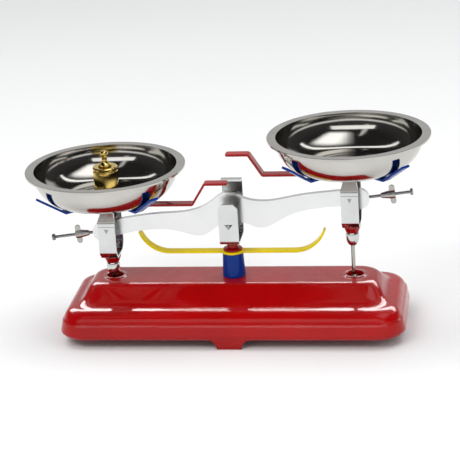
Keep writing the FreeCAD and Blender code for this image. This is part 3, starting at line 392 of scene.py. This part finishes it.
class Studio:
    """The world: white up to just above the horizon, and over that a dim hall with soft panels.

    The camera and polished surfaces see that, and everything else gets plain light.
    """

    def __init__(self):
        world = bpy.data.worlds.new("studio")
        bpy.context.scene.world = world
        world.use_nodes = True
        self.tree = world.node_tree
        self.tree.nodes.clear()
        self.direction = self.add("ShaderNodeTexCoord").outputs["Generated"]
        self.level = None

    def add(self, kind, **values):
        node = self.tree.nodes.new(kind)
        for name, value in values.items():
            setattr(node, name, value)
        return node

    def math(self, operation, *terms):
        """The result of a Math node; each term is a number or another node's output."""
        node = self.add("ShaderNodeMath", operation=operation)
        for socket, term in zip(node.inputs, terms):
            if isinstance(term, (int, float)):
                socket.default_value = term
            else:
                self.tree.links.new(term, socket)
        return node.outputs[0]

    def along(self, axis):
        """How far the direction of view points along an axis."""
        node = self.add("ShaderNodeVectorMath", operation="DOT_PRODUCT")
        self.tree.links.new(self.direction, node.inputs[0])
        node.inputs[1].default_value = axis
        return node.outputs["Value"]

    def step(self, value, start, stop):
        """A smooth rise from 0 at start to 1 at stop."""
        node = self.add("ShaderNodeMapRange", interpolation_type="SMOOTHSTEP")
        node.inputs["From Min"].default_value = start
        node.inputs["From Max"].default_value = stop
        self.tree.links.new(value, node.inputs["Value"])
        return node.outputs["Result"]

    def hall(self, stops):
        """Brightness by height, from pairs of the sine of an elevation and a level."""
        ramp = self.add("ShaderNodeValToRGB")
        self.tree.links.new(self.along((0, 0, 1)), ramp.inputs["Fac"])
        for index, (place, level) in enumerate(stops):
            elements = ramp.color_ramp.elements
            stop = elements[index] if index < 2 else elements.new(place)
            stop.position = place
            stop.color = (level, level, level, 1)
        self.level = ramp.outputs["Color"]

    def panel(self, facing, across, place, size, level, soft):
        """A panel with edges soft wide, on the plane one unit out along facing.

        Its place and size are measured on that plane, along across and along facing x across: down for a
        panel behind, up for one in front and backwards for one overhead.
        """
        other = Vector(facing).cross(Vector(across))
        depth = self.along(facing)
        mask = self.step(depth, 0.02, 0.06)         # nothing beside or behind the plane
        for axis, middle, extent in zip((across, other), place, size):
            offset = self.math("SUBTRACT", self.math("DIVIDE", self.along(axis), depth), middle)
            edge = self.step(self.math("ABSOLUTE", offset), (extent + soft) / 2, (extent - soft) / 2)
            mask = self.math("MULTIPLY", mask, edge)
        self.level = self.math("MAXIMUM", self.level, self.math("MULTIPLY", mask, level))

    def background(self, colour, strength=1.0):
        """Light of a colour, which is three numbers or another node's output."""
        node = self.add("ShaderNodeBackground")
        node.inputs["Strength"].default_value = strength
        if isinstance(colour, tuple):
            node.inputs["Color"].default_value = (*colour, 1)
        else:
            self.tree.links.new(colour, node.inputs["Color"])
        return node.outputs[0]

    def finish(self, colour, strength):
        """The hall for the camera, metal and glass, and plain light of one colour for the rest."""
        rays = self.add("ShaderNodeLightPath").outputs
        seen = self.math("MAXIMUM", rays["Is Camera Ray"], rays["Is Glossy Ray"])
        seen = self.math("MAXIMUM", seen, rays["Is Transmission Ray"])
        mix = self.add("ShaderNodeMixShader")
        self.tree.links.new(seen, mix.inputs[0])
        self.tree.links.new(self.background(colour, strength), mix.inputs[1])
        self.tree.links.new(self.background(self.level), mix.inputs[2])
        self.tree.links.new(mix.outputs[0], self.add("ShaderNodeOutputWorld").inputs["Surface"])


def world():
    """The studio's backdrop, hall and panels."""
    front, back, ceiling, right = (0, -1, 0), (0, 1, 0), (0, 0, 1), (1, 0, 0)
    white, dim, dark = 0.97, 0.05, 0.02
    studio = Studio()
    studio.hall(((0.0, white), (0.12, white), (0.16, dim), (0.4, 0.04), (0.7, dark), (1.0, dark)))
    # A broad sheen behind for the deck, a strip overhead, and the soft patch that the pans mirror.
    studio.panel(back, right, place=(0, -0.25), size=(1.8, 1.1), level=0.6, soft=0.3)
    studio.panel(ceiling, right, place=(0, 0.5), size=(2.6, 0.14), level=1.8, soft=0.06)
    studio.panel(ceiling, right, place=(0.42, -0.3), size=(0.7, 1.0), level=1.9, soft=0.4)
    # Two strips in front, for bent sheet and rounded sides.
    studio.panel(front, right, place=(-0.1, 0.66), size=(1.6, 0.34), level=1.5, soft=0.06)
    studio.panel(front, right, place=(-0.5, 1.3), size=(0.16, 1.8), level=0.8, soft=0.14)
    studio.finish(colour=(0.98, 0.99, 1), strength=0.5)


def camera():
    """Seen from a little right of the front and from above, with the object slightly tipped."""
    azimuth, elevation, roll = math.radians(9), math.radians(20.2), math.radians(3.6)
    distance, target = 1.16, Vector((-0.001, 0, 0.062))
    outward = Vector((math.sin(azimuth) * math.cos(elevation), -math.cos(azimuth) * math.cos(elevation),
                      math.sin(elevation)))
    eye = bpy.data.cameras.new("camera")
    eye.lens = 150
    eye.sensor_width = 36
    eye.clip_end = 50
    item = bpy.data.objects.new("camera", eye)
    look = (-outward).to_track_quat("-Z", "Y").to_matrix()
    item.matrix_world = Matrix.Translation(target + outward * distance) @ (
        look @ Matrix.Rotation(-roll, 3, "Z")).to_4x4()
    bpy.context.scene.collection.objects.link(item)
    bpy.context.scene.camera = item


floor()
world()
camera()
area_light("key", place=(-0.55, -0.85, 1.15), aim_height=0.06, size=(0.9, 0.6), power=7)
area_light("top", place=(0.0, 0.15, 1.3), aim_height=0.05, size=(2.0, 0.7), power=12)
area_light("fill", place=(1.2, -0.7, 0.7), aim_height=0.06, size=(0.6, 0.9), power=3)
# Two long strips, behind and in front, draw the highlight lines along the casting's edges.
area_light("upper_gleam", place=(0, 0.9, 0.85), aim_height=0.03, size=(2.4, 0.36), power=38,
           gleam_on=pieces["base_casting"])
area_light("lower_gleam", place=(0, -1.3, 0.22), aim_height=0.02, size=(2.4, 0.1), power=6,
           gleam_on=pieces["base_casting"])
bpy.context.scene.view_settings.view_transform = "Standard"
